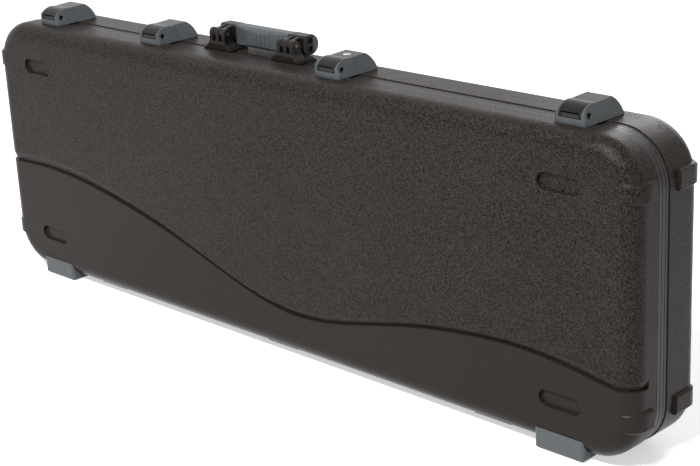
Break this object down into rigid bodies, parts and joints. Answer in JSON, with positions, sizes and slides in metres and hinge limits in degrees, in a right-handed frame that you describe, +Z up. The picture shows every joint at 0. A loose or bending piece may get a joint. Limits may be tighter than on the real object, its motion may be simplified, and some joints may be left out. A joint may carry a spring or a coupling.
{
  "type": "bass guitar case",
  "caption": "Long moulded hard case with hinged lid, trigger latches, folding carrying handle, feet and padded liners shaped for a bass guitar.",
  "frame": {"origin": "on the floor, under the middle of the case as it stands on its feet", "axes": "+X along the case, -Y is the lid side, +Z up"},
  "size_m": [1.279, 0.137, 0.4555],
  "materials": {
    "dark_steel": "black painted steel",
    "foot_rubber": "blue-grey satin moulding",
    "grey_plastic": "blue-grey satin casting",
    "grip_rubber": "blue-grey soft moulding",
    "handle_plastic": "near black nylon",
    "lever_plastic": "satin black moulding",
    "lock_chrome": "polished",
    "pin_steel": "steel pins",
    "plush": "short-pile plush over foam, near black",
    "rim_metal": "black anodised extrusion with fine lines",
    "shell_plastic": "moulded ABS with fine leather grain, near black",
    "trigger_metal": "black"
  },
  "bodies": {
    "base": {"base_foot_left": "foot_rubber", "base_foot_right": "foot_rubber", "base_liner": "plush", "base_shell": "shell_plastic", "base_valance": "rim_metal", "handle_bracket_left": "handle_plastic", "handle_bracket_right": "handle_plastic", "handle_pin_left": "pin_steel", "handle_pin_right": "pin_steel", "hinge_base_leaf_1": "dark_steel", "hinge_base_leaf_2": "dark_steel", "hinge_base_leaf_3": "dark_steel", "hinge_pins": "dark_steel", "latch_base_1": "grey_plastic", "latch_base_2": "grey_plastic", "latch_base_3": "grey_plastic", "latch_base_4": "grey_plastic", "latch_pivot_pins": "pin_steel", "neck_rest": "plush"},
    "lid": {"lid_shell": "shell_plastic", "lid_valance": "rim_metal", "lid_liner": "plush", "lid_foot_left": "foot_rubber", "lid_foot_right": "foot_rubber", "keeper_rods": "pin_steel", "hinge_lid_leaf_1": "dark_steel", "hinge_lid_leaf_2": "dark_steel", "hinge_lid_leaf_3": "dark_steel", "latch_keeper_1": "grey_plastic", "latch_keeper_2": "grey_plastic", "latch_keeper_3": "grey_plastic", "latch_keeper_4": "grey_plastic"},
    "handle": {"handle_frame": "handle_plastic", "handle_grip": "grip_rubber"},
    "lever_1": {"latch_cover_1": "lever_plastic", "trigger_pin_1": "pin_steel"},
    "trigger_1": {"latch_trigger_1": "trigger_metal"},
    "lever_2": {"latch_cover_2": "lever_plastic", "trigger_pin_2": "pin_steel"},
    "trigger_2": {"latch_trigger_2": "trigger_metal"},
    "lever_3": {"latch_cover_3": "lever_plastic", "trigger_pin_3": "pin_steel"},
    "trigger_3": {"latch_trigger_3": "trigger_metal"},
    "lever_4": {"latch_cover_4": "lever_plastic", "trigger_pin_4": "pin_steel"},
    "trigger_4": {"latch_trigger_4": "trigger_metal"},
    "lock": {"lock_cylinder": "lock_chrome"}
  },
  "joints": [
    {"name": "lid_hinge", "type": "hinge", "parent": "base", "child": "lid", "pos_m": [0, -0.0176, 0.0048], "axis": [1, 0, 0], "range_deg": [0, 100]},
    {"name": "handle_swing", "type": "hinge", "parent": "base", "child": "handle", "pos_m": [-0.079, 0.004, 0.445], "axis": [1, 0, 0], "range_deg": [0, 100]},
    {"name": "latch_lever_1", "type": "hinge", "parent": "base", "child": "lever_1", "pos_m": [-0.52, 0.031, 0.4276], "axis": [-1, 0, 0], "range_deg": [0, 95]},
    {"name": "trigger_pull_1", "type": "hinge", "parent": "lever_1", "child": "trigger_1", "pos_m": [-0.52, -0.0295, 0.4338], "axis": [-1, 0, 0], "range_deg": [0, 8], "stiffness_Nm_per_rad": 0.05, "springref_deg": -11.46},
    {"name": "latch_lever_2", "type": "hinge", "parent": "base", "child": "lever_2", "pos_m": [-0.267, 0.031, 0.4276], "axis": [-1, 0, 0], "range_deg": [0, 95]},
    {"name": "trigger_pull_2", "type": "hinge", "parent": "lever_2", "child": "trigger_2", "pos_m": [-0.267, -0.0295, 0.4338], "axis": [-1, 0, 0], "range_deg": [0, 8], "stiffness_Nm_per_rad": 0.05, "springref_deg": -11.46},
    {"name": "latch_lever_3", "type": "hinge", "parent": "base", "child": "lever_3", "pos_m": [0.11, 0.031, 0.4276], "axis": [-1, 0, 0], "range_deg": [0, 95]},
    {"name": "trigger_pull_3", "type": "hinge", "parent": "lever_3", "child": "trigger_3", "pos_m": [0.11, -0.0295, 0.4338], "axis": [-1, 0, 0], "range_deg": [0, 8], "stiffness_Nm_per_rad": 0.05, "springref_deg": -11.46},
    {"name": "latch_lever_4", "type": "hinge", "parent": "base", "child": "lever_4", "pos_m": [0.52, 0.031, 0.4276], "axis": [-1, 0, 0], "range_deg": [0, 95]},
    {"name": "trigger_pull_4", "type": "hinge", "parent": "lever_4", "child": "trigger_4", "pos_m": [0.52, -0.0295, 0.4338], "axis": [-1, 0, 0], "range_deg": [0, 8], "stiffness_Nm_per_rad": 0.05, "springref_deg": -11.46},
    {"name": "lock_turn", "type": "hinge", "parent": "lever_3", "child": "lock", "pos_m": [0.11, 0.003, 0.442], "axis": [0, 0, 1], "range_deg": [0, 90]}
  ]
}
